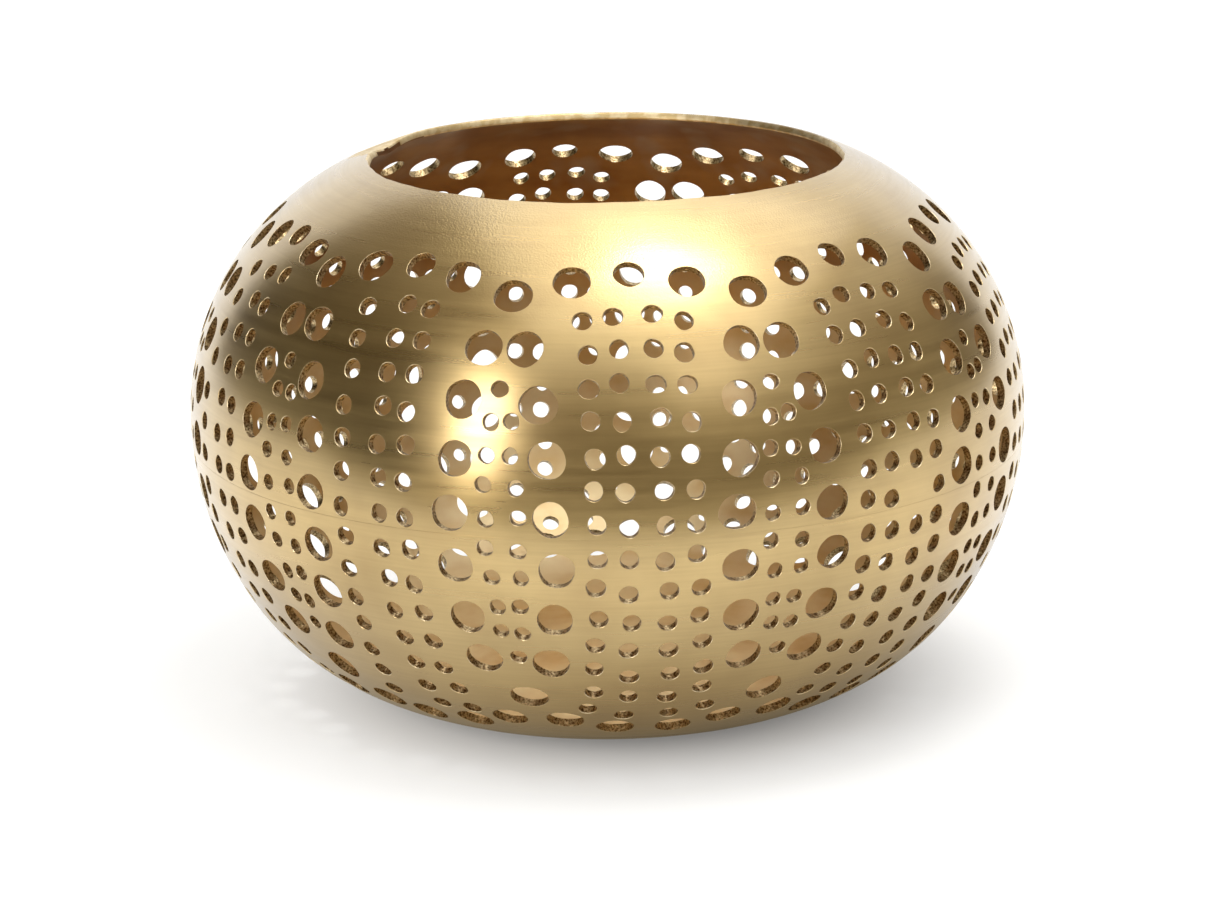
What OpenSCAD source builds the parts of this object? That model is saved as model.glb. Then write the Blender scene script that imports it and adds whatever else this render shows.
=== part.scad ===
// Pierced sheet-brass tealight holder.
// Two spun half shells are brazed edge to edge just under the widest line, then
// pierced by hand: ten almond motifs of large holes, each round a core of
// small ones, with fields of small holes between and a ring of large holes
// above and below.  Origin at the centre of the underside, +Z up.
// The side seen from the front faces -Y.

/* [Body] */
// Outside diameter at the widest line, mm
body_d = 120; // [118:1:122]
// Radius of the shoulder curve, from the seam up to the mouth, mm
shoulder_r = 38.8; // [38.4:0.1:39.2]
// Radius of the side curve, from the seam down, mm
side_r = 46; // [45:0.5:47]
// Radius of the bowl curve, from the side in to the underside, mm
bowl_r = 35.2; // [34.8:0.1:35.6]
// Diameter of the mouth, mm
mouth_d = 67.6; // [66:0.2:69]
// Thickness of the sheet, mm
wall = 1.1; // [0.9:0.1:1.3]

/* [Piercing] */
// Drill for the motif outlines and the two rings, mm
large_d = 5; // [4.6:0.1:5]
// Drill for the middle hole of each shoulder span, mm
middle_d = 4; // [3.4:0.1:4.4]
// Drill for the fields between the motifs, mm
field_d = 2.6; // [2.3:0.1:2.6]
// Drill for the core of each motif, mm
core_d = 2.2; // [1.8:0.1:2.2]
// How far the hand drilling strays from its marks, mm
stray = 0.22; // [0:0.02:0.22]

/* [Hidden] */
$fn = 96;

brass = [0.74, 0.60, 0.34];

// Seam: this far under the widest line, where no row of holes falls
seam_drop = 3.1;
// Angle below the widest line at which the side curve hands over to the bowl
// curve, again between rows of holes
bowl_angle = 33.4;
// Broken edges of the mouth
edge_break = 0.3;
// Reach of a cutter past the surface it cuts
over = 1;

// Profile curves: how far out from the axis, and how high, each is centred.
// Heights are from the widest line here and are moved up at the end.
shoulder_x = body_d / 2 - shoulder_r;
seam_r = shoulder_x + sqrt(pow(shoulder_r, 2) - pow(seam_drop, 2));
side_x = seam_r - sqrt(pow(side_r, 2) - pow(seam_drop, 2));
bowl_x = side_x + (side_r - bowl_r) * cos(bowl_angle);
bowl_z = -(side_r - bowl_r) * sin(bowl_angle);
// Height of the widest line over the underside, and of the seam
widest_z = bowl_r - bowl_z;
seam_z = widest_z - seam_drop;
// Angle below the widest line that is safely past the seam
seam_angle = 10;
// Angle of the shoulder curve at which it reaches the mouth
mouth_angle = acos((mouth_d / 2 - shoulder_x) / shoulder_r);
// Distance along the skin from the widest line to the bowl curve
bowl_s = -side_r * bowl_angle * PI / 180;

// Motifs: count, and how far each was laid out of true, in degrees
motif_count = 10;
motif_step = 360 / motif_count;
first_motif = -48.3;
out_of_true = [0, -1.4, -0.5, 0.6, 1.0, 1.5, 2.0, 2.4, 2.9, 3.3];
// How far each motif leans from top to bottom, in degrees
lean = [2.4, 1.9, 2.1, 1.2, -0.8, 0.6, 1.6, -1.1, 0.5, 1.4];
lean_length = 60;

// Distances along the skin from the widest line, positive upwards
motif_top = 29.8;
large_pitch = 7.5;
// Half width of the outline at each of its rows, top to bottom
outline = [0, 2.9, 5, 6.3, 6.9, 6.8, 6.1, 4.5, 0];
core_top = 16.5;
core_pitch = 4.25;
// Half width of the core at each of its rows, top to bottom
core = [0, 1.35, 1.7, 2.1, 2.3, 2.25, 1.9, 1.65, 1.35, 0];

// Fields: columns to the right of each motif, and where they stand
columns = [3, 4, 4, 4, 4, 4, 4, 4, 4, 3];
three_columns = [-5.6, 0.4, 4.4];
four_columns = [-6.5, -2.4, 2.4, 6.5];
field_rows = 14;
field_top = 27.1;
field_pitch = 4.755;
// Outer columns start lower and are set closer
outer_top = 26.15;
outer_pitch = 4.55;
outer_column = 5;
// Extra spread of the columns towards the bottom of a field
field_flare = 0.2;
// The one hole the driller missed: its field, place and row
missed = [2, 2.4, 6];

// Rings: height, rise or drop between motifs, and share of the span
shoulder_ring = 32.2;
shoulder_rise = 1.3;
shoulder_share = 0.25;
bowl_ring = -36.8;
bowl_drop = 2.3;
bowl_near = 4.8;
bowl_far_share = 0.36;

function degrees(length, r) = length / r * 180 / PI;
// Centre [out, up], radius and turn of the curve that holds the point s
function centre(s) = s > -seam_drop ? [shoulder_x, 0]
  : s > bowl_s ? [side_x, 0] : [bowl_x, bowl_z];
function radius(s) = s > -seam_drop ? shoulder_r : s > bowl_s ? side_r : bowl_r;
function slope(s) = s > -seam_drop ? degrees(s, shoulder_r)
  : s > bowl_s ? degrees(s, side_r) : -bowl_angle + degrees(s - bowl_s, bowl_r);
// Radius out from the axis of a point so far along the skin
function skin_r(s) = centre(s)[0] + radius(s) * cos(slope(s));

// Stray of hole n: two unrelated waves stand in for the hand
function waver(n) = stray * sin(n * 137.5);
function drift(n) = stray * sin(n * 222.5 + 40);

function motif_az(i) = first_motif + i * motif_step + out_of_true[i];
function span(i) = i + 1 < motif_count
  ? motif_az(i + 1) - motif_az(i)
  : motif_az(0) + 360 - motif_az(i);
function leaning(amount, s) = -amount * s / lean_length;
function motif_axis(i, s) = motif_az(i) + leaning(lean[i], s);
function field_lean(i) = (lean[i] + lean[(i + 1) % motif_count]) / 2;
function field_axis(i, s) = motif_az(i) + span(i) / 2 + leaning(field_lean(i), s);

// Each hole is [degrees round, distance along the skin, diameter]
function hole(az, w, s, n, d) = [az + degrees(w + waver(n), skin_r(s)), s + drift(n), d];
function pair(az, w, s, n, d) = w == 0
  ? [hole(az, 0, s, n, d)]
  : [hole(az, -w, s, n, d), hole(az, w, s, n + 0.5, d)];
function almond(i, widths, top, pitch, n, d) = [
  for (k = [0 : len(widths) - 1])
    let (s = top - k * pitch)
    each pair(motif_axis(i, s), widths[k], s, i * 50 + n + k, d)
];

function places(count) = count == 3 ? three_columns : four_columns;
function field(i) = [
  for (w = places(columns[i]))
    for (k = [0 : field_rows - 1])
      if ([i, w, k] != missed) let (
        outer = abs(w) > outer_column,
        s = outer ? outer_top - k * outer_pitch : field_top - k * field_pitch,
        spread = 1 + field_flare * pow(k / (field_rows - 1), 3)
      )
      hole(field_axis(i, s), w * spread, s, i * 70 + w * 16 + k + 900, field_d)
];

function rings(i) = [
  for (side = [-1, 1])
    [motif_az(i) + leaning(lean[i], shoulder_ring) + span(i) * (0.5 + side * (0.5 - shoulder_share)),
     shoulder_ring + drift(i * side), large_d],
  [field_axis(i, shoulder_ring), shoulder_ring + shoulder_rise, middle_d],
  for (side = [-1, 1])
    [motif_axis(i, bowl_ring) + side * bowl_near, bowl_ring + drift(i + side), large_d],
  for (side = [-1, 1])
    [field_axis(i, bowl_ring) + side * span(i) * (0.5 - bowl_far_share),
     bowl_ring - bowl_drop + waver(i + side), large_d]
];

holes = [
  for (i = [0 : motif_count - 1])
    each concat(
      almond(i, outline, motif_top, large_pitch, 0, large_d),
      almond(i, core, core_top, core_pitch, 20, core_d),
      field(i),
      rings(i)
    )
];

// One drill, square to the skin, reaching just through the sheet
module drill(az, s, d) {
  rotate([0, 0, az - 90])
    translate([centre(s)[0], 0, widest_z + centre(s)[1]])
      rotate([0, 90 - slope(s), 0])
        translate([0, 0, radius(s) - wall - over])
          cylinder(d = d, h = wall + 2 * over);
}

module drills(above_seam) {
  for (h = holes)
    if ((h[1] > -seam_drop) == above_seam)
      drill(h[0], h[1], h[2]);
}

// Sheet that follows a curve from one angle to another
module band(out, up, r, low, high) {
  translate([out, up])
    intersection() {
      difference() {
        circle(r = r);
        circle(r = r - wall);
      }
      polygon([[0, 0], 2 * r * [cos(low), sin(low)], 2 * r * [cos(high), sin(high)]]);
    }
}

// All of the profile above the seam, or all of it below
module above_seam() {
  translate([0, -seam_drop])
    square([body_d, body_d]);
}

module below_seam() {
  translate([0, -body_d - seam_drop])
    square([body_d, body_d]);
}

module shoulder_profile() {
  difference() {
    intersection() {
      band(shoulder_x, 0, shoulder_r, -seam_angle, mouth_angle);
      above_seam();
    }
    for (depth = [0, wall])
      translate([shoulder_x, 0])
        rotate(mouth_angle)
          translate([shoulder_r - depth, 0])
            rotate(45)
              square(edge_break * sqrt(2), center = true);
  }
}

module side_profile() {
  intersection() {
    band(side_x, 0, side_r, -bowl_angle, 0);
    below_seam();
  }
}

// Spun upper half: shoulder and mouth
module upper_shell() {
  color(brass)
    difference() {
      translate([0, 0, widest_z])
        rotate_extrude()
          shoulder_profile();
      drills(true);
    }
}

// Spun lower half: side, bowl and flat underside
module lower_shell() {
  color(brass)
    difference() {
      translate([0, 0, widest_z]) {
        rotate_extrude()
          side_profile();
        rotate_extrude()
          band(bowl_x, bowl_z, bowl_r, -90, -bowl_angle);
        translate([0, 0, -widest_z])
          cylinder(r = bowl_x, h = wall);
      }
      drills(false);
    }
}

upper_shell();
lower_shell();
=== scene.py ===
import random
from math import acos, asin, atan2, cos, degrees, exp, hypot, pi, radians, sin, sqrt

import bmesh
import bpy
from mathutils import Matrix, Vector


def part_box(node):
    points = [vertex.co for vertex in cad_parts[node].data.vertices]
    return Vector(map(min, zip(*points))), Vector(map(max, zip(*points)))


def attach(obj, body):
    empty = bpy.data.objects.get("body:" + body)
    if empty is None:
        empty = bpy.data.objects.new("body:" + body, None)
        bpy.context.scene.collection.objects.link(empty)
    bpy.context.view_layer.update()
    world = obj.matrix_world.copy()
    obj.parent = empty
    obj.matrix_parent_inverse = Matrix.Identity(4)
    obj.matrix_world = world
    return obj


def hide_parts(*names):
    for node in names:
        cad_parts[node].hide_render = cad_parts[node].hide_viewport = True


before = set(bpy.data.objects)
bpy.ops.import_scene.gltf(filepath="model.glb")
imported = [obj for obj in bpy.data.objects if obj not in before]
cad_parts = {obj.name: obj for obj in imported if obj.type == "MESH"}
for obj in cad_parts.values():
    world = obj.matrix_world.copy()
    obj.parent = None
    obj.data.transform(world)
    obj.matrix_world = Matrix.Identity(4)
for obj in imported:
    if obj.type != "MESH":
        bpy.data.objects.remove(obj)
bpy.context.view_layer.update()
print("frame loaded:", ", ".join(sorted(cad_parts)))

mm = 0.001  # lengths in the dictionaries are millimetres, the scene is metres

upperLow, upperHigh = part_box("upper_shell")
bodyR = (upperHigh[0] - upperLow[0]) / 2 / mm  # widest radius
seamZ = upperLow[2] / mm  # height of the brazed seam

# Sheet: a shoulder curve down to the seam, then a side curve, a bowl curve and a flat underside
sheet = {
    "shoulderR": 38.8,
    "sideR": 46.0,
    "bowlR": 35.2,
    "bowlAngle": 33.4,  # how far under the widest line the bowl curve starts
    "seamDrop": 3.1,  # the seam is this far under the widest line
    "mouthR": 33.8,
    "wall": 1.1,
    "edgeRound": 0.32,
    "seamBreak": 0.02,
    "stepsRound": 288,
    "shoulderRows": 40,
    "sideRows": 24,
    "bowlRows": 30,
}
wall = sheet["wall"]
widestZ = seamZ + sheet["seamDrop"]
shoulderX = bodyR - sheet["shoulderR"]
seamR = shoulderX + sqrt(sheet["shoulderR"] ** 2 - sheet["seamDrop"] ** 2)
sideX = seamR - sqrt(sheet["sideR"] ** 2 - sheet["seamDrop"] ** 2)
bowlX = sideX + (sheet["sideR"] - sheet["bowlR"]) * cos(radians(sheet["bowlAngle"]))
bowlZ = widestZ - (sheet["sideR"] - sheet["bowlR"]) * sin(radians(sheet["bowlAngle"]))
bowlStart = -sheet["sideR"] * radians(sheet["bowlAngle"])
mouthAngle = degrees(acos((sheet["mouthR"] - shoulderX) / sheet["shoulderR"]))

# Layout of the piercing, the same marks as the CAD shells
piercing = {
    "largeD": 5.0,
    "middleD": 4.0,
    "fieldD": 2.6,
    "coreD": 2.2,
    "stray": 0.22,
    "motifs": 10,
    "firstMotif": -48.3,
    "outOfTrue": [0, -1.4, -0.5, 0.6, 1.0, 1.5, 2.0, 2.4, 2.9, 3.3],
    "lean": [2.4, 1.9, 2.1, 1.2, -0.8, 0.6, 1.6, -1.1, 0.5, 1.4],
    "leanLength": 60,
    "motifTop": 29.8,
    "largePitch": 7.5,
    "outline": [0, 2.9, 5, 6.3, 6.9, 6.8, 6.1, 4.5, 0],
    "coreTop": 16.5,
    "corePitch": 4.25,
    "core": [0, 1.35, 1.7, 2.1, 2.3, 2.25, 1.9, 1.65, 1.35, 0],
    "threeColumns": [-5.6, 0.4, 4.4],
    "fourColumns": [-6.5, -2.4, 2.4, 6.5],
    "narrowFields": [0, 9],
    "fieldRows": 14,
    "fieldTop": 27.1,
    "fieldPitch": 4.755,
    "outerTop": 26.15,
    "outerPitch": 4.55,
    "outerColumn": 5,
    "fieldFlare": 0.2,
    "missed": (2, 2.4, 6),
    "shoulderRing": 32.2,
    "shoulderRise": 1.3,
    "shoulderShare": 0.25,
    "bowlRing": -36.8,
    "bowlDrop": 2.3,
    "bowlNear": 4.8,
    "bowlFarShare": 0.36,
}


def curveAt(s):
    # the curve that holds the point s along the skin: its centre out and up, radius, and slope there
    if s > -sheet["seamDrop"]:
        return shoulderX, widestZ, sheet["shoulderR"], s / sheet["shoulderR"]
    if s > bowlStart:
        return sideX, widestZ, sheet["sideR"], s / sheet["sideR"]
    return bowlX, bowlZ, sheet["bowlR"], (s - bowlStart) / sheet["bowlR"] - radians(sheet["bowlAngle"])


def turn(w, s):
    x, z, r, slope = curveAt(s)
    return degrees(w / (x + r * cos(slope)))


def waver(n):
    return piercing["stray"] * sin(radians(n * 137.5))


def drift(n):
    return piercing["stray"] * sin(radians(n * 222.5 + 40))


def motifAz(i):
    return piercing["firstMotif"] + i * 360 / piercing["motifs"] + piercing["outOfTrue"][i]


def span(i):
    return motifAz(i + 1) - motifAz(i) if i + 1 < piercing["motifs"] else motifAz(0) + 360 - motifAz(i)


def motifAxis(i, s):
    return motifAz(i) - piercing["lean"][i] * s / piercing["leanLength"]


def fieldAxis(i, s):
    lean = (piercing["lean"][i] + piercing["lean"][(i + 1) % piercing["motifs"]]) / 2
    return motifAz(i) + span(i) / 2 - lean * s / piercing["leanLength"]


def mark(az, w, s, n, d):
    return (az + turn(w + waver(n), s), s + drift(n), d)


def motifMarks(i):
    marks = []
    for widths, top, pitch, d, shift in (
        (piercing["outline"], piercing["motifTop"], piercing["largePitch"], piercing["largeD"], 0),
        (piercing["core"], piercing["coreTop"], piercing["corePitch"], piercing["coreD"], 20),
    ):
        for k, w in enumerate(widths):
            s = top - k * pitch
            n = i * 50 + k + shift
            if w == 0:
                marks.append(mark(motifAxis(i, s), 0, s, n, d))
            else:
                marks.append(mark(motifAxis(i, s), -w, s, n, d))
                marks.append(mark(motifAxis(i, s), w, s, n + 0.5, d))
    return marks


def fieldMarks(i):
    marks = []
    for w in piercing["threeColumns" if i in piercing["narrowFields"] else "fourColumns"]:
        outer = abs(w) > piercing["outerColumn"]
        top = piercing["outerTop" if outer else "fieldTop"]
        pitch = piercing["outerPitch" if outer else "fieldPitch"]
        for k in range(piercing["fieldRows"]):
            if (i, w, k) == piercing["missed"]:
                continue
            s = top - k * pitch
            spread = 1 + piercing["fieldFlare"] * (k / (piercing["fieldRows"] - 1)) ** 3
            marks.append(mark(fieldAxis(i, s), w * spread, s, i * 70 + w * 16 + k + 900, piercing["fieldD"]))
    return marks


def ringMarks(i):
    high, low, d = piercing["shoulderRing"], piercing["bowlRing"], piercing["largeD"]
    marks = [(fieldAxis(i, high), high + piercing["shoulderRise"], piercing["middleD"])]
    for way in (-1, 1):
        across = motifAxis(i, high) + span(i) * (0.5 + way * (0.5 - piercing["shoulderShare"]))
        marks.append((across, high + drift(i * way), d))
        marks.append((motifAxis(i, low) + way * piercing["bowlNear"], low + drift(i + way), d))
        far = fieldAxis(i, low) + way * span(i) * (0.5 - piercing["bowlFarShare"])
        marks.append((far, low - piercing["bowlDrop"] + waver(i + way), d))
    return marks


marks = [m for i in range(piercing["motifs"]) for m in motifMarks(i) + fieldMarks(i) + ringMarks(i)]
print("marks laid out:", len(marks))


# Drills: round cutters, each filed a little out of true
drilling = {
    "sides": 26,
    "shapes": 7,
    "lobes": 0.035,  # how far a filed hole is out of round, share of its radius
    "squash": 0.05,
    "burr": 0.10,  # width of the broken edge at the skin
    "over": 1.0,  # how far a cutter starts inside the sheet
    "above": 0.6,  # how far it stands over the skin
}


def drillShape(rand, r):
    # one cutter standing on +Z, its zero at the outer skin, flared where it leaves the sheet
    bm = bmesh.new()
    deep = -(wall + drilling["over"])
    bmesh.ops.create_circle(bm, cap_ends=True, radius=1, segments=drilling["sides"])
    bmesh.ops.translate(bm, verts=bm.verts, vec=(0, 0, deep))
    phases = [rand.uniform(0, 2 * pi) for _ in range(4)]
    for v in bm.verts:
        a = atan2(v.co.y, v.co.x)
        out = sum(sin(a * (k + 2) + phases[k]) / (k + 1.5) for k in range(4))
        grow = 1 + drilling["lobes"] * out
        v.co.x *= grow
        v.co.y *= grow
    tip = list(bm.faces)
    burr = drilling["burr"] / r
    rises = ((-deep - drilling["burr"], 1.0), (drilling["burr"], 1 + burr), (drilling["above"], 1.0))
    for lift, flare in rises:
        grown = bmesh.ops.extrude_face_region(bm, geom=tip)
        if tip[0].calc_center_median().z > deep + 0.01:  # only the first face stays, as the inner end
            bmesh.ops.delete(bm, geom=tip, context="FACES_ONLY")
        verts = [g for g in grown["geom"] if isinstance(g, bmesh.types.BMVert)]
        bmesh.ops.translate(bm, verts=verts, vec=(0, 0, lift))
        bmesh.ops.scale(bm, verts=verts, vec=(flare, flare, 1))
        tip = [g for g in grown["geom"] if isinstance(g, bmesh.types.BMFace)]
    for face in bm.faces:
        face.material_index = 1 if face.calc_center_median().z > -drilling["burr"] else 0
    bmesh.ops.recalc_face_normals(bm, faces=bm.faces)
    shape = bpy.data.meshes.new("drillShape")
    bm.to_mesh(shape)
    bm.free()
    return shape


def drillPlace(az, s):
    x, z, r, slope = curveAt(s)
    return (
        Matrix.Rotation(radians(az - 90), 4, "Z")
        @ Matrix.Translation((x * mm, 0, z * mm))
        @ Matrix.Rotation(pi / 2 - slope, 4, "Y")
        @ Matrix.Translation((0, 0, r * mm))
    )


def joinedDrills(name, chosen, rand):
    shapes = {}
    bm = bmesh.new()
    for az, s, d in chosen:
        r = d / 2
        if r not in shapes:
            shapes[r] = [drillShape(rand, r) for _ in range(drilling["shapes"])]
        cutter = rand.choice(shapes[r]).copy()
        wide = r * (1 + rand.uniform(-1, 1) * drilling["squash"])
        tall = r * (1 + rand.uniform(-1, 1) * drilling["squash"])
        size = Matrix.Diagonal((wide * mm, tall * mm, mm, 1))
        cutter.transform(drillPlace(az, s) @ size @ Matrix.Rotation(rand.uniform(0, 2 * pi), 4, "Z"))
        bm.from_mesh(cutter)
        bpy.data.meshes.remove(cutter)
    mesh = bpy.data.meshes.new(name)
    bm.to_mesh(mesh)
    bm.free()
    drills = bpy.data.objects.new(name, mesh)
    bpy.context.collection.objects.link(drills)
    return drills


def arcPoints(x, z, r, start, end, rows):
    turns = [radians(start + (end - start) * k / rows) for k in range(rows + 1)]
    return [(x + r * cos(a), z + r * sin(a)) for a in turns]


# Mouth: trimmed by hand, with one shallow dent near the back on the left
mouth = {
    "waves": [(3, 20, 0.10), (7, 0, 0.08), (19, 50, 0.05), (47, 10, 0.03)],
    "dentAz": -110,
    "dentWide": 9.0,
    "dentDeep": 0.9,
    "band": 9,  # degrees of the shoulder curve that follow the edge
}


def mouthTrim(az):
    # how far the edge reaches past its line, mm along the sheet
    return sum(size * sin(radians(times * az + start)) for times, start, size in mouth["waves"])


def mouthDent(az):
    away = (az - mouth["dentAz"] + 180) % 360 - 180
    return mouth["dentDeep"] * exp(-((away / mouth["dentWide"]) ** 2))


def spun(profile):
    bm = bmesh.new()
    verts = [bm.verts.new((x * mm, 0, z * mm)) for x, z in profile]
    edges = [bm.edges.new((verts[k - 1], verts[k])) for k in range(len(verts))]
    bmesh.ops.spin(
        bm, geom=verts + edges, cent=(0, 0, 0), axis=(0, 0, 1), angle=2 * pi,
        steps=sheet["stepsRound"], use_merge=True,
    )
    bmesh.ops.remove_doubles(bm, verts=bm.verts, dist=1e-6)
    bmesh.ops.dissolve_degenerate(bm, dist=1e-7, edges=bm.edges)
    bmesh.ops.recalc_face_normals(bm, faces=bm.faces)
    return bm


def curveUnder(r, z):
    # the curve whose sheet passes this point, mm
    if z > seamZ:
        return shoulderX, widestZ, sheet["shoulderR"]
    onSide = atan2(widestZ - z, r - sideX) < radians(sheet["bowlAngle"])
    return (sideX, widestZ, sheet["sideR"]) if onSide else (bowlX, bowlZ, sheet["bowlR"])


def depthOf(p):
    # depth under the outer skin, mm
    r, z = hypot(p.x, p.y) / mm, p.z / mm
    if z < seamZ and r < bowlX:
        return z
    x, up, big = curveUnder(r, z)
    return big - hypot(r - x, z - up)


def skinNormal(p, inside):
    r, z = hypot(p.x, p.y) / mm, p.z / mm
    if z < seamZ and r < bowlX:
        n = Vector((0, 0, -1))
    else:
        x, up, big = curveUnder(r, z)
        n = Vector(((r - x) * p.x / (r * mm), (r - x) * p.y / (r * mm), z - up)).normalized()
    return -n if inside else n


def trimMouth(bm):
    for v in bm.verts:
        r, z = hypot(v.co.x, v.co.y) / mm, v.co.z / mm
        a = degrees(atan2(z - widestZ, r - shoulderX))
        share = max(0, (a - mouthAngle) / mouth["band"] + 1)
        if share > 0:
            az = degrees(atan2(v.co.x, -v.co.y))
            moved = radians(a + degrees(mouthTrim(az) * share ** 2 / sheet["shoulderR"]))
            far = hypot(r - shoulderX, z - widestZ)
            grow = (shoulderX + far * cos(moved)) / r
            drop = mouthDent(az) * share ** 2
            v.co = Vector((v.co.x * grow, v.co.y * grow, (widestZ + far * sin(moved) - drop) * mm))


def giveFinishes(mesh, materials):
    # skin, inside, and the edges of the sheet: filed at the mouth, bare at the seam
    for m in materials:
        mesh.materials.append(m)
    for face in mesh.polygons:
        depth = depthOf(face.center)
        inSheet = 3 if face.center.z > widestZ * mm else 2
        face.material_index = 0 if depth < 0.05 else 1 if depth > wall - 0.08 else inSheet


def pierce(shell, chosen, materials, seed):
    rand = random.Random(seed)
    for part in (chosen[0::2], chosen[1::2]):
        drills = joinedDrills(shell.name + "Drills", part, rand)
        drills.data.materials.append(materials[2])
        drills.data.materials.append(materials[3])
        cut = shell.modifiers.new("pierce", "BOOLEAN")
        cut.operation = "DIFFERENCE"
        cut.solver = "MANIFOLD"
        cut.object = drills
        done = bpy.data.meshes.new_from_object(shell.evaluated_get(bpy.context.evaluated_depsgraph_get()))
        shell.modifiers.remove(cut)
        shell.data = done
        bpy.data.objects.remove(drills)


def smoothSkin(mesh, materials):
    # normals from the curves themselves, so that the drilled skin shades as one sheet
    mesh.shade_smooth()
    mesh.set_sharp_from_angle(angle=radians(28))
    bm = bmesh.new()
    bm.from_mesh(mesh)
    bmesh.ops.triangulate(bm, faces=[f for f in bm.faces if len(f.verts) > 4])
    bm.to_mesh(mesh)
    openEdges = sum(1 for e in bm.edges if len(e.link_faces) != 2)
    bm.free()
    slots = [m.name for m in mesh.materials]
    drilledIndex, filedIndex = slots.index(materials[2].name), slots.index(materials[3].name)
    normals = [(0.0, 0.0, 0.0)] * len(mesh.loops)
    for face in mesh.polygons:
        atSeam = abs(face.center.z / mm - seamZ) < sheet["seamBreak"]
        if atSeam or face.material_index in (drilledIndex, filedIndex):
            continue
        inside = depthOf(face.center) > wall / 2
        for loop in face.loop_indices:
            normals[loop] = skinNormal(mesh.vertices[mesh.loops[loop].vertex_index].co, inside)
    mesh.normals_split_custom_set(normals)
    return openEdges


def makeShell(name, node, profile, chosen, materials, seed):
    bm = spun(profile)
    if node == "upper_shell":
        trimMouth(bm)
    mesh = bpy.data.meshes.new(name)
    bm.to_mesh(mesh)
    bm.free()
    giveFinishes(mesh, materials)
    shell = bpy.data.objects.new(name, mesh)
    bpy.context.collection.objects.link(shell)
    pierce(shell, chosen, materials, seed)
    shell.data.name = name
    openEdges = smoothSkin(shell.data, materials)
    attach(shell, "root")
    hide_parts(node)
    triangles = sum(len(f.vertices) - 2 for f in shell.data.polygons)
    print(name, "pierced:", len(chosen), "holes,", triangles, "triangles,", openEdges, "open edges")
    return shell


def toLinear(hexColour):
    parts = [int(hexColour[k:k + 2], 16) / 255 for k in (1, 3, 5)]
    return [c / 12.92 if c <= 0.04045 else ((c + 0.055) / 1.055) ** 2.4 for c in parts] + [1]


def addNode(tree, kind, settings=None, links=None):
    node = tree.nodes.new(kind)
    for key, value in (settings or {}).items():
        if isinstance(key, int) or key in node.inputs:
            node.inputs[key].default_value = value
        else:
            setattr(node, key, value)
    for key, source in (links or {}).items():
        tree.links.new(source, node.inputs[key])
    return node


def newMaterial(name):
    material = bpy.data.materials.new(name)
    material.use_nodes = True
    material.node_tree.nodes.clear()
    return material, material.node_tree


def finishMaterial(tree, shader):
    addNode(tree, "ShaderNodeOutputMaterial", links={"Surface": shader.outputs[0]})


def skinCoordinates(tree):
    # position in mm, and the distance along the sheet from the seam in mm
    place = addNode(tree, "ShaderNodeTexCoord")
    inMm = addNode(tree, "ShaderNodeVectorMath", {"operation": "SCALE", "Scale": 1 / mm},
                   {0: place.outputs["Object"]})
    axes = addNode(tree, "ShaderNodeSeparateXYZ", links={0: inMm.outputs[0]})
    flat = addNode(tree, "ShaderNodeCombineXYZ", links={"X": axes.outputs["X"], "Y": axes.outputs["Y"]})
    radius = addNode(tree, "ShaderNodeVectorMath", {"operation": "LENGTH"}, {0: flat.outputs[0]})
    out = addNode(tree, "ShaderNodeMath", {"operation": "SUBTRACT", 1: (shoulderX + sideX) / 2},
                  {0: radius.outputs["Value"]})
    rise = addNode(tree, "ShaderNodeMath", {"operation": "SUBTRACT", 1: widestZ}, {0: axes.outputs["Z"]})
    angle = addNode(tree, "ShaderNodeMath", {"operation": "ARCTAN2"}, {0: rise.outputs[0], 1: out.outputs[0]})
    meanR = (sheet["shoulderR"] + sheet["sideR"]) / 2
    along = addNode(tree, "ShaderNodeMath", {"operation": "MULTIPLY", 1: meanR}, {0: angle.outputs[0]})
    return inMm, axes, along


def streaks(tree, axes, along, length, spacing, detail=2.0):
    # noise drawn out round the axis: lines of this length and spacing, mm
    flat = addNode(tree, "ShaderNodeCombineXYZ", links={"X": axes.outputs["X"], "Y": axes.outputs["Y"]})
    pulled = addNode(tree, "ShaderNodeVectorMath", {"operation": "SCALE", "Scale": 1 / length},
                     {0: flat.outputs[0]})
    across = addNode(tree, "ShaderNodeMath", {"operation": "DIVIDE", 1: spacing}, {0: along.outputs[0]})
    lift = addNode(tree, "ShaderNodeCombineXYZ", links={"Z": across.outputs[0]})
    both = addNode(tree, "ShaderNodeVectorMath", {"operation": "ADD"},
                   {0: pulled.outputs[0], 1: lift.outputs[0]})
    return addNode(tree, "ShaderNodeTexNoise", {"Scale": 1.0, "Detail": detail, "Roughness": 0.6},
                   {"Vector": both.outputs[0]})


# Brushed brass: spun sheet dressed with an abrasive pad while it turned, then lacquered.
# The eye gets lines that run round the body, lights drawn out up and down across them,
# and a thin veil of white where the lacquer faces the table.
brushed = {
    "brass": "#d5b87c",
    "browned": "#a68753",
    "roughness": 0.30,
    "anisotropic": 0.60,
    "lineLength": 11.0,
    "lineSpacing": 0.38,
    "lineDepth": 0.0012,
    "bandLength": 30.0,
    "bandSpacing": 1.6,
    "cloud": 14,  # size of the browner clouds, mm
    "grain": 0.28,
    "grainDepth": 0.045,
    "grainFrom": 22.0,  # distance along the sheet over which the grain comes in, mm
    "grainTo": 46.0,
    "lacquer": 1.0,
    "lacquerRoughness": 0.22,
}


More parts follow.
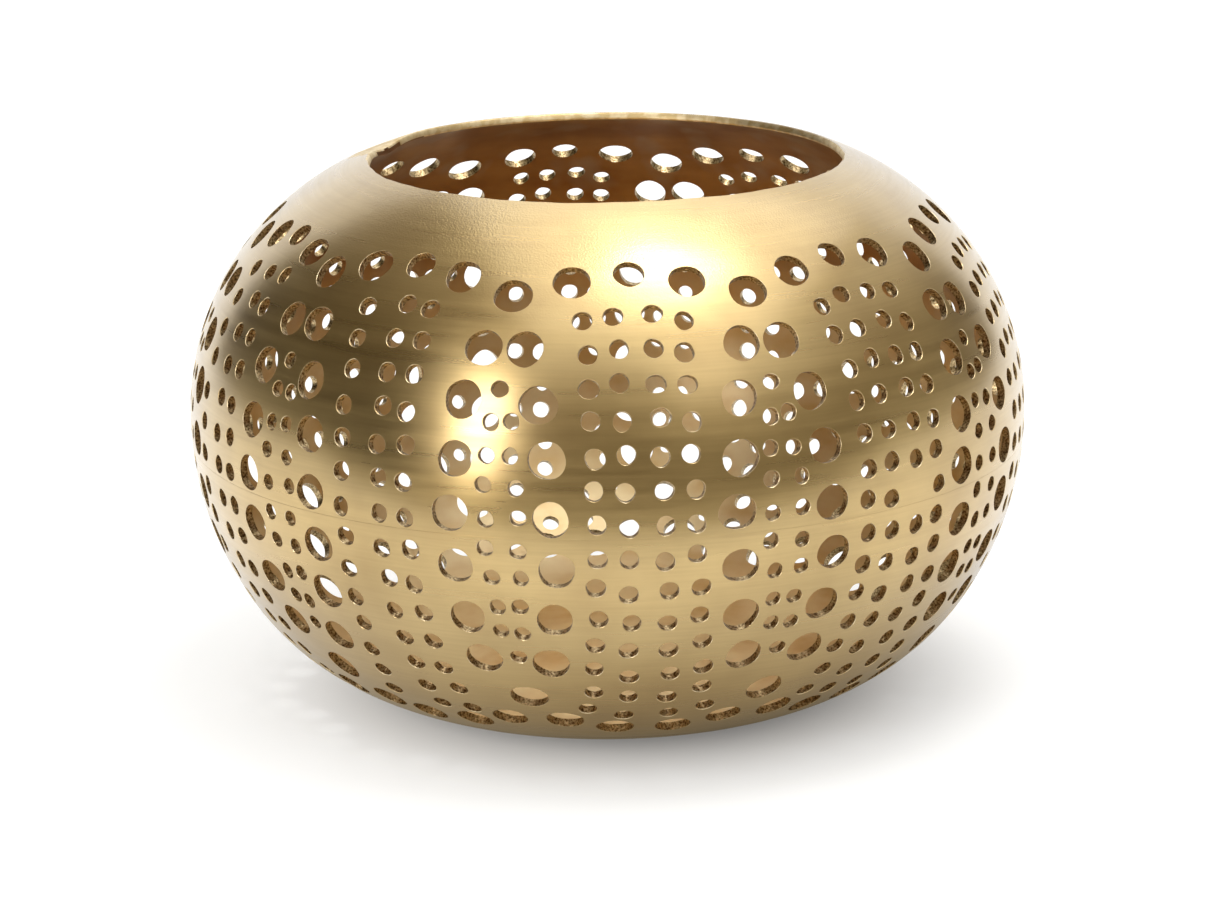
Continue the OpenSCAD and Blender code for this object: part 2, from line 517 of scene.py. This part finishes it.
def brushedBrass():
    material, tree = newMaterial("brushedBrass")
    inMm, axes, along = skinCoordinates(tree)
    lines = streaks(tree, axes, along, brushed["lineLength"], brushed["lineSpacing"], 1.0)
    bands = streaks(tree, axes, along, brushed["bandLength"], brushed["bandSpacing"])
    clouds = addNode(tree, "ShaderNodeTexNoise", {"Scale": 1 / brushed["cloud"], "Detail": 3.0},
                     {"Vector": inMm.outputs[0]})
    grain = addNode(tree, "ShaderNodeTexNoise", {"Scale": 1 / brushed["grain"], "Detail": 1.0},
                    {"Vector": inMm.outputs[0]})
    brass, darker = toLinear(brushed["brass"]), toLinear(brushed["browned"])
    cloudShare = addNode(tree, "ShaderNodeMapRange", {1: 0.35, 2: 0.75, 3: 0.0, 4: 0.5}, {0: clouds.outputs[0]})
    toned = addNode(tree, "ShaderNodeMix", {"data_type": "RGBA", 6: brass, 7: darker},
                    {0: cloudShare.outputs[0]})
    lineShare = addNode(tree, "ShaderNodeMapRange", {1: 0.25, 2: 0.8, 3: 0.0, 4: 0.2}, {0: lines.outputs[0]})
    lined = addNode(tree, "ShaderNodeMix", {"data_type": "RGBA", 7: darker},
                    {0: lineShare.outputs[0], 6: toned.outputs[2]})
    smoothest, roughest = brushed["roughness"] - 0.04, brushed["roughness"] + 0.06
    rough = addNode(tree, "ShaderNodeMapRange", {1: 0.3, 2: 0.7, 3: smoothest, 4: roughest},
                    {0: bands.outputs[0]})
    lineBump = addNode(tree, "ShaderNodeBump", {"Strength": 1.0, "Distance": brushed["lineDepth"] * mm},
                       {"Height": lines.outputs[0]})
    nearMouth, atMouth = brushed["grainFrom"], brushed["grainTo"]
    shoulderShare = addNode(tree, "ShaderNodeMapRange", {1: nearMouth, 2: atMouth, 3: 0.05, 4: 1.0},
                            {0: along.outputs[0]})
    grainHeight = addNode(tree, "ShaderNodeMath", {"operation": "MULTIPLY"},
                          {0: grain.outputs[0], 1: shoulderShare.outputs[0]})
    grainBump = addNode(tree, "ShaderNodeBump", {"Strength": 1.0, "Distance": brushed["grainDepth"] * mm},
                        {"Height": grainHeight.outputs[0], "Normal": lineBump.outputs[0]})
    roundAxis = addNode(tree, "ShaderNodeTangent", {"direction_type": "RADIAL", "axis": "Z"})
    shader = addNode(tree, "ShaderNodeBsdfPrincipled",
                     {"Metallic": 1.0, "Anisotropic": brushed["anisotropic"], "Anisotropic Rotation": 0.25,
                      "Coat Weight": brushed["lacquer"], "Coat Roughness": brushed["lacquerRoughness"]},
                     {"Base Color": lined.outputs[2], "Roughness": rough.outputs[0],
                      "Normal": grainBump.outputs[0], "Tangent": roundAxis.outputs[0]})
    finishMaterial(tree, shader)
    return material


# Heat-browned brass: the inside, left as it was after brazing and pickling.
# The eye gets a dull warm brown under the mouth, the metal's own heat-browned tone, that clears to pale brass low
# down: painted light, standing in for light through the mouth falling on the lower inside.
browned = {
    "brown": "#8e5f30",
    "streak": "#ab7c45",
    "smoke": "#a8927c",
    # painted light: pale tones low inside, where light through the mouth falls
    "low": "#f6e0b0",
    "paintedLitStreak": "#deb97c",
    "paintedLightFrom": 14.0,  # distance along the sheet over which the painted light from the mouth comes in, mm
    "paintedLightTo": -12.0,
    "wipeLength": 26.0,
    "wipeSpacing": 7.0,
    "cloud": 9,
    "smokeWide": 7,
    "smokeTall": 40,
    "pitDepth": 0.02,
    "metal": 0.8,
    "roughness": 0.38,
}


def brownedBrassWithPaintedLight():
    material, tree = newMaterial("brownedBrassWithPaintedLight")
    inMm, axes, along = skinCoordinates(tree)
    wipes = streaks(tree, axes, along, browned["wipeLength"], browned["wipeSpacing"], 3.0)
    clouds = addNode(tree, "ShaderNodeTexNoise", {"Scale": 1 / browned["cloud"], "Detail": 4.0},
                     {"Vector": inMm.outputs[0]})
    both = addNode(tree, "ShaderNodeMath", {"operation": "ADD"}, {0: wipes.outputs[0], 1: clouds.outputs[0]})
    share = addNode(tree, "ShaderNodeMapRange", {1: 0.8, 2: 1.25, 3: 0.0, 4: 1.0}, {0: both.outputs[0]})
    brown, streak = toLinear(browned["brown"]), toLinear(browned["streak"])
    upperTone = addNode(tree, "ShaderNodeMix", {"data_type": "RGBA", 6: brown, 7: streak},
                        {0: share.outputs[0]})
    # painted light: the pale lower tones stand in for light through the mouth on the lower inside
    low, paintedLitStreak = toLinear(browned["low"]), toLinear(browned["paintedLitStreak"])
    paintedLitTone = addNode(tree, "ShaderNodeMix", {"data_type": "RGBA", 6: low, 7: paintedLitStreak},
                        {0: share.outputs[0]})
    wide, tall = browned["smokeWide"], browned["smokeTall"]
    drawn = addNode(tree, "ShaderNodeVectorMath", {"operation": "MULTIPLY", 1: (1 / wide, 1 / wide, 1 / tall)},
                    {0: inMm.outputs[0]})
    smoke = addNode(tree, "ShaderNodeTexNoise", {"Scale": 1.0, "Detail": 2.0}, {"Vector": drawn.outputs[0]})
    smokeShare = addNode(tree, "ShaderNodeMapRange", {1: 0.5, 2: 0.72, 3: 0.0, 4: 0.7}, {0: smoke.outputs[0]})
    smoked = addNode(tree, "ShaderNodeMix", {"data_type": "RGBA", 7: toLinear(browned["smoke"])},
                     {0: smokeShare.outputs[0], 6: upperTone.outputs[2]})
    # painted light: the brown clears to the pale tones further down the sheet
    paintedLightFrom, paintedLightTo = browned["paintedLightFrom"], browned["paintedLightTo"]
    paintedLightShare = addNode(tree, "ShaderNodeMapRange", {1: paintedLightFrom, 2: paintedLightTo, 3: 0.0, 4: 1.0},
                       {0: along.outputs[0]})
    toned = addNode(tree, "ShaderNodeMix", {"data_type": "RGBA"},
                    {0: paintedLightShare.outputs[0], 6: smoked.outputs[2], 7: paintedLitTone.outputs[2]})
    bump = addNode(tree, "ShaderNodeBump", {"Strength": 1.0, "Distance": browned["pitDepth"] * mm},
                   {"Height": clouds.outputs[0]})
    shader = addNode(tree, "ShaderNodeBsdfPrincipled",
                     {"Metallic": browned["metal"], "Roughness": browned["roughness"]},
                     {"Base Color": toned.outputs[2], "Normal": bump.outputs[0]})
    finishMaterial(tree, shader)
    return material


# Drilled brass: the walls of the holes.
# The eye gets bare metal, darker than the dressed skin, with glints off the file marks.
drilled = {
    "bare": "#dcc496",
    "dark": "#6b5332",
    "scratch": 0.3,
    "scratchDepth": 0.02,
    "roughness": 0.36,
}


def drilledBrass():
    material, tree = newMaterial("drilledBrass")
    place = addNode(tree, "ShaderNodeTexCoord")
    scratch = addNode(tree, "ShaderNodeTexNoise", {"Scale": 1 / (drilled["scratch"] * mm), "Detail": 2.0},
                      {"Vector": place.outputs["Object"]})
    share = addNode(tree, "ShaderNodeMapRange", {1: 0.35, 2: 0.65, 3: 0.0, 4: 1.0}, {0: scratch.outputs[0]})
    dark, bare = toLinear(drilled["dark"]), toLinear(drilled["bare"])
    toned = addNode(tree, "ShaderNodeMix", {"data_type": "RGBA", 6: dark, 7: bare}, {0: share.outputs[0]})
    bump = addNode(tree, "ShaderNodeBump", {"Strength": 1.0, "Distance": drilled["scratchDepth"] * mm},
                   {"Height": scratch.outputs[0]})
    shader = addNode(tree, "ShaderNodeBsdfPrincipled", {"Metallic": 1.0, "Roughness": drilled["roughness"]},
                     {"Base Color": toned.outputs[2], "Normal": bump.outputs[0]})
    finishMaterial(tree, shader)
    return material


# Filed brass: the trimmed edge of the mouth and the broken lips of the holes.
# The eye gets a thin pale line with brighter nicks.
filed = {
    "pale": "#efdcb4",
    "dull": "#d8bd8a",
    "scratch": 1.6,
    "scratchDepth": 0.008,
    "roughness": 0.45,
}


def filedBrass():
    material, tree = newMaterial("filedBrass")
    place = addNode(tree, "ShaderNodeTexCoord")
    scratch = addNode(tree, "ShaderNodeTexNoise", {"Scale": 1 / (filed["scratch"] * mm), "Detail": 2.0},
                      {"Vector": place.outputs["Object"]})
    share = addNode(tree, "ShaderNodeMapRange", {1: 0.4, 2: 0.6, 3: 0.0, 4: 1.0}, {0: scratch.outputs[0]})
    dull, pale = toLinear(filed["dull"]), toLinear(filed["pale"])
    toned = addNode(tree, "ShaderNodeMix", {"data_type": "RGBA", 6: dull, 7: pale}, {0: share.outputs[0]})
    bump = addNode(tree, "ShaderNodeBump", {"Strength": 1.0, "Distance": filed["scratchDepth"] * mm},
                   {"Height": scratch.outputs[0]})
    shader = addNode(tree, "ShaderNodeBsdfPrincipled", {"Metallic": 1.0, "Roughness": filed["roughness"]},
                     {"Base Color": toned.outputs[2], "Normal": bump.outputs[0]})
    finishMaterial(tree, shader)
    return material


materials = [brushedBrass(), brownedBrassWithPaintedLight(), drilledBrass(), filedBrass()]
print("materials made")

edge, nick = sheet["edgeRound"], sheet["seamBreak"]
edgeTurn = degrees(edge / sheet["shoulderR"])


def seamSlope(r):
    # slope of a curve of this radius where it reaches the seam
    return -degrees(asin(sheet["seamDrop"] / r))


def shoulderPoints(inset, start, end, rows):
    return arcPoints(shoulderX, widestZ, sheet["shoulderR"] - inset, start, end, rows)


outerSeam, innerSeam = seamSlope(sheet["shoulderR"]), seamSlope(sheet["shoulderR"] - wall)
nickTurn = degrees(nick / sheet["shoulderR"])
upperProfile = (
    [shoulderPoints(nick, outerSeam, outerSeam, 1)[0]]
    + shoulderPoints(0, outerSeam + nickTurn, mouthAngle - edgeTurn, sheet["shoulderRows"])
    + [shoulderPoints(edge * 0.3, mouthAngle - edgeTurn * 0.3, 0, 1)[0]]
    + [shoulderPoints(edge, mouthAngle, 0, 1)[0]]
    + [shoulderPoints(wall - edge * 0.6, mouthAngle, 0, 1)[0]]
    + shoulderPoints(wall, mouthAngle - edgeTurn * 0.6, innerSeam, sheet["shoulderRows"] - 10)
)
upper = makeShell("piercedShoulder", "upper_shell", upperProfile,
                  [m for m in marks if m[1] > -sheet["seamDrop"]], materials, 3)

bowlAngle, inner = sheet["bowlAngle"], sheet["sideR"] - wall
sideSeam = seamSlope(sheet["sideR"])
nickTurn = degrees(nick / sheet["sideR"])
lowerProfile = (
    [arcPoints(sideX, widestZ, sheet["sideR"] - nick, sideSeam, 0, 1)[0]]
    + arcPoints(sideX, widestZ, sheet["sideR"], sideSeam - nickTurn, -bowlAngle, sheet["sideRows"])
    + arcPoints(bowlX, bowlZ, sheet["bowlR"], -bowlAngle, -90, sheet["bowlRows"])[1:]
    + [(bowlX * k / 6, 0) for k in range(5, -1, -1)]
    + [(bowlX * k / 6, wall) for k in range(0, 6)]
    + arcPoints(bowlX, bowlZ, sheet["bowlR"] - wall, -90, -bowlAngle, sheet["bowlRows"] - 8)
    + arcPoints(sideX, widestZ, inner, -bowlAngle, seamSlope(inner), sheet["sideRows"] - 6)[1:]
)
lower = makeShell("piercedBowl", "lower_shell", lowerProfile,
                  [m for m in marks if m[1] < -sheet["seamDrop"]], materials, 5)

# Stage: a white table that stops just in front, with painted light that lifts it away from the object, a card of
# painted shade under the object, and dim cards only the metal sees
stage = {
    "floorFront": 0.15,
    "floorSide": 1.2,
    "floorBack": 1.6,
    "floorColour": "#bcbcba",
    "floorGlow": (0.0, 0.56),  # painted light: the floor glows more away from the object, leaving painted shade close round it, so only its near shadow shows
    "floorGlowReach": (0.008, 0.064),
    "floorGlowCentre": (0.004, 0.0, 0.0),
    "paintedShadeGlow": (0.04, 0.95),  # painted shade: what the metal sees of the floor close under it, dark under the object and glowing away from it
    "paintedShadeReach": (0.019, 0.084),
    "underHeight": 0.0004,
    "cardRise": (0.35, 1.35),  # heights between which each upright card brightens
    "front": (0.22, 0.95),
    "left": (0.06, 0.16),
    "right": (0.18, 0.70),
    "ceiling": (0.28, 0.28),
    "softbox": (1.7, 1.7),
    "softboxHeight": 1.2,
    "softboxX": (-0.40, 0.95),
    "softboxY": (-0.72, 1.25),
}


def glowMaterial(name, strengths, reach, measure, colour="#000000", dim="#ffebc3"):
    # a plain surface that brightens and whitens up its height or out from the axis
    material, tree = newMaterial(name)
    place = addNode(tree, "ShaderNodeTexCoord")
    if measure == "height":
        along = addNode(tree, "ShaderNodeSeparateXYZ", links={0: place.outputs["Object"]}).outputs["Z"]
    else:
        moved = addNode(tree, "ShaderNodeVectorMath", {"operation": "SUBTRACT", 1: stage["floorGlowCentre"]},
                        {0: place.outputs["Object"]})
        length = addNode(tree, "ShaderNodeVectorMath", {"operation": "LENGTH"}, {0: moved.outputs[0]})
        along = length.outputs["Value"]
    glow = addNode(tree, "ShaderNodeMapRange",
                   {"interpolation_type": "SMOOTHSTEP", 1: reach[0], 2: reach[1], 3: strengths[0], 4: strengths[1]},
                   {0: along})
    whitening = addNode(tree, "ShaderNodeMapRange", {1: 0.1, 2: 0.8, 3: 0.0, 4: 1.0}, {0: glow.outputs[0]})
    tint = addNode(tree, "ShaderNodeMix", {"data_type": "RGBA", 6: toLinear(dim), 7: (1, 1, 1, 1)},
                   {0: whitening.outputs[0]})
    shader = addNode(tree, "ShaderNodeBsdfPrincipled",
                     {"Base Color": toLinear(colour), "Roughness": 0.8, "Specular IOR Level": 0.0},
                     {"Emission Strength": glow.outputs[0], "Emission Color": tint.outputs[2]})
    finishMaterial(tree, shader)
    return material


def card(name, corners, material, seen=True):
    bm = bmesh.new()
    bm.faces.new([bm.verts.new(c) for c in corners])
    mesh = bpy.data.meshes.new(name)
    bm.to_mesh(mesh)
    bm.free()
    mesh.materials.append(material)
    thing = bpy.data.objects.new(name, mesh)
    bpy.context.collection.objects.link(thing)
    if not seen:
        thing.visible_camera = False
        thing.visible_diffuse = False
        thing.visible_shadow = False
    return thing


def flatCard(x, y, z):
    # corners of a level card between two x and two y
    return [(x[0], y[0], z), (x[1], y[0], z), (x[1], y[1], z), (x[0], y[1], z)]


side, near = stage["floorSide"], stage["paintedShadeReach"][1]
# painted light: the table glows by distance from the axis, none close to the object, which leaves painted shade
# round it
paintedGlowTable = glowMaterial("paintedGlowTable", stage["floorGlow"], stage["floorGlowReach"], "out",
                          stage["floorColour"], "#ffffff")
# painted shade: a card only the metal sees, dark close under the object, in place of the shadowed floor there
paintedShadeGrey = glowMaterial("paintedShadeGrey", stage["paintedShadeGlow"], stage["paintedShadeReach"], "out")
card("table", flatCard((-side, side), (-stage["floorFront"], stage["floorBack"]), 0), paintedGlowTable)
card("paintedShadeCard", flatCard((-near, near), (-near, near), stage["underHeight"]), paintedShadeGrey, False)
cards = {
    "front": [(-2, -0.95, -1), (2, -0.95, -1), (2, -0.95, 1.4), (-2, -0.95, 1.4)],
    "left": [(-1.3, -1, -1), (-1.3, 1.5, -1), (-1.3, 1.5, 1.4), (-1.3, -1, 1.4)],
    "right": [(1.3, -1, -1), (1.3, 1.5, -1), (1.3, 1.5, 1.4), (1.3, -1, 1.4)],
    "ceiling": flatCard((-2, 2), (-1, 1.6), 1.4),
    "softbox": flatCard(stage["softboxX"], stage["softboxY"], stage["softboxHeight"]),
}
for name, corners in cards.items():
    card(name + "Card", corners, glowMaterial(name + "Grey", stage[name], stage["cardRise"], "height"), False)

lights = {
    "overhead": {"at": (0.17, -0.06, 0.95), "aim": (0, 0, 0.05), "size": (0.35, 0.30), "power": 2.2},
    "leftFront": {"at": (-0.42, -0.62, 0.27), "aim": (0, 0, 0.05), "size": (0.14, 0.42), "power": 1.6},
    "rightFront": {"at": (0.36, -0.62, 0.62), "aim": (0, 0, 0.05), "size": (0.30, 0.40), "power": 0.28},
}


def lookAt(place, aim):
    return (Vector(aim) - Vector(place)).to_track_quat("-Z", "Y")


for name, said in lights.items():
    lamp = bpy.data.lights.new(name, "AREA")
    lamp.shape = "RECTANGLE"
    lamp.size, lamp.size_y = said["size"]
    lamp.energy = said["power"]
    thing = bpy.data.objects.new(name, lamp)
    thing.location = said["at"]
    thing.rotation_mode = "QUATERNION"
    thing.rotation_quaternion = lookAt(said["at"], said["aim"])
    thing.visible_camera = False
    bpy.context.collection.objects.link(thing)

world = bpy.data.worlds.new("studio")
bpy.context.scene.world = world
world.use_nodes = True
world.node_tree.nodes["Background"].inputs[0].default_value = (1, 1, 1, 1)
world.node_tree.nodes["Background"].inputs[1].default_value = 1.0
bpy.context.scene.view_settings.view_transform = "Standard"

view = {
    "distance": 0.600,
    "elevation": 14.3,
    "tilt": 0.58,
    "lensWidths": 3.415,  # focal length over sensor width
    "dip": 0.713,  # the axis is turned this much below the middle of the widest line, degrees
}
target = Vector((0, 0, widestZ * mm))
lift = radians(view["elevation"])
camera = bpy.data.cameras.new("camera")
camera.sensor_width = 36
camera.lens = 36 * view["lensWidths"]
camera.clip_start = 0.01
eye = bpy.data.objects.new("camera", camera)
eye.matrix_world = (
    Matrix.Translation(target + view["distance"] * Vector((0, -cos(lift), sin(lift))))
    @ Matrix.Rotation(pi / 2 - lift - radians(view["dip"]), 4, "X")
    @ Matrix.Rotation(radians(-view["tilt"]), 4, "Z")
)
bpy.context.collection.objects.link(eye)
bpy.context.scene.camera = eye
print("stage and camera set")
